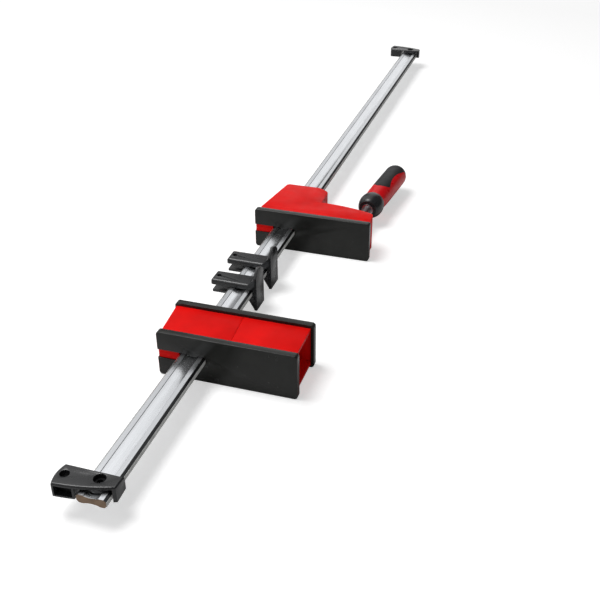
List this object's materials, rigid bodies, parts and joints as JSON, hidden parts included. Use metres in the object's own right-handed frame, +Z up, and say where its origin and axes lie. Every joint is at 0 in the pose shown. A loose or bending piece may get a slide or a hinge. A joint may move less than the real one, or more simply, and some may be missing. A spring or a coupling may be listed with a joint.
{
  "type": "parallel clamp",
  "caption": "Parallel clamp on its side: two wide-faced jaws on a grooved steel rail, one driven by a screw handle, with rail pads and end stops.",
  "frame": {"origin": "on the bench, under the rail's centre line, in the plane of the outer jaw's clamping face", "axes": "+X along the jaws from their backs to their tips; +Y along the rail from the outer jaw towards the moving jaw and the far end; +Z up from the bench"},
  "size_m": [0.1578, 1.316, 0.0565],
  "materials": {
    "rail_steel": "bright zinc-plated, drawn lengthwise",
    "black_plastic": "satin moulded",
    "cover_plastic": "semi-gloss moulded",
    "red_plastic": "satin moulded",
    "soft_black": "soft grip",
    "core_steel": "painted casting",
    "dark_steel": "blackened",
    "spring_steel": "blued",
    "spindle_steel": "zinc-plated",
    "nut_brass": "turned"
  },
  "bodies": {
    "rail": {"rail": "rail_steel", "near_end_stop": "black_plastic", "far_end_stop": "black_plastic", "near_stop_peg": "dark_steel", "far_stop_peg": "dark_steel"},
    "outer_jaw": {"outer_housing": "red_plastic", "outer_back_cover": "cover_plastic", "outer_face_cover": "cover_plastic", "outer_core": "core_steel", "outer_catch_pin": "dark_steel", "outer_catch_spring": "spring_steel"},
    "outer_catch": {"outer_catch": "dark_steel"},
    "moving_jaw": {"moving_housing": "red_plastic", "moving_face_cover": "cover_plastic", "moving_core": "core_steel", "moving_catch_pin": "dark_steel", "moving_catch_spring": "spring_steel", "spindle_nut": "nut_brass"},
    "moving_catch": {"moving_catch": "dark_steel"},
    "spindle_carriage": {"pressure_foot": "dark_steel"},
    "handle": {"spindle": "spindle_steel", "collar_washer": "spindle_steel", "handle_collar": "black_plastic", "handle_grip": "red_plastic", "handle_inlay": "soft_black"},
    "near_pad": {"near_pad": "black_plastic"},
    "far_pad": {"far_pad": "black_plastic"}
  },
  "joints": [
    {"name": "outer_jaw_slide", "type": "slide", "parent": "rail", "child": "outer_jaw", "axis": [0, 1, 0], "range_m": [-0.183, 0.03]},
    {"name": "moving_jaw_slide", "type": "slide", "parent": "rail", "child": "moving_jaw", "axis": [0, 1, 0], "range_m": [-0.056, 0.69]},
    {"name": "near_pad_slide", "type": "slide", "parent": "rail", "child": "near_pad", "axis": [0, 1, 0], "range_m": [-0.04, 0.011]},
    {"name": "far_pad_slide", "type": "slide", "parent": "rail", "child": "far_pad", "axis": [0, 1, 0], "range_m": [-0.012, 0.023]},
    {"name": "spindle_feed", "type": "slide", "parent": "moving_jaw", "child": "spindle_carriage", "axis": [-0.0995, -0.995, 0], "range_m": [-0.0013, 0.0145]},
    {"name": "spindle_turn", "type": "hinge", "parent": "spindle_carriage", "child": "handle", "pos_m": [0.08862, 0.33353, 0.02625], "axis": [-0.0995, -0.995, 0], "range_deg": [-144, 1728]},
    {"name": "outer_catch_tilt", "type": "hinge", "parent": "outer_jaw", "child": "outer_catch", "pos_m": [0.0192, -0.0415, 0.02625], "axis": [0, 0, 1], "range_deg": [-1.5, 0], "stiffness_Nm_per_rad": 0.05},
    {"name": "moving_catch_tilt", "type": "hinge", "parent": "moving_jaw", "child": "moving_catch", "pos_m": [0.0192, 0.3001, 0.02625], "axis": [0, 0, 1], "range_deg": [0, 1.5], "stiffness_Nm_per_rad": 0.05}
  ],
  "couplings": [
    {"joint": "spindle_feed", "follows": "spindle_turn", "m_per_rad": 0.00047746}
  ]
}
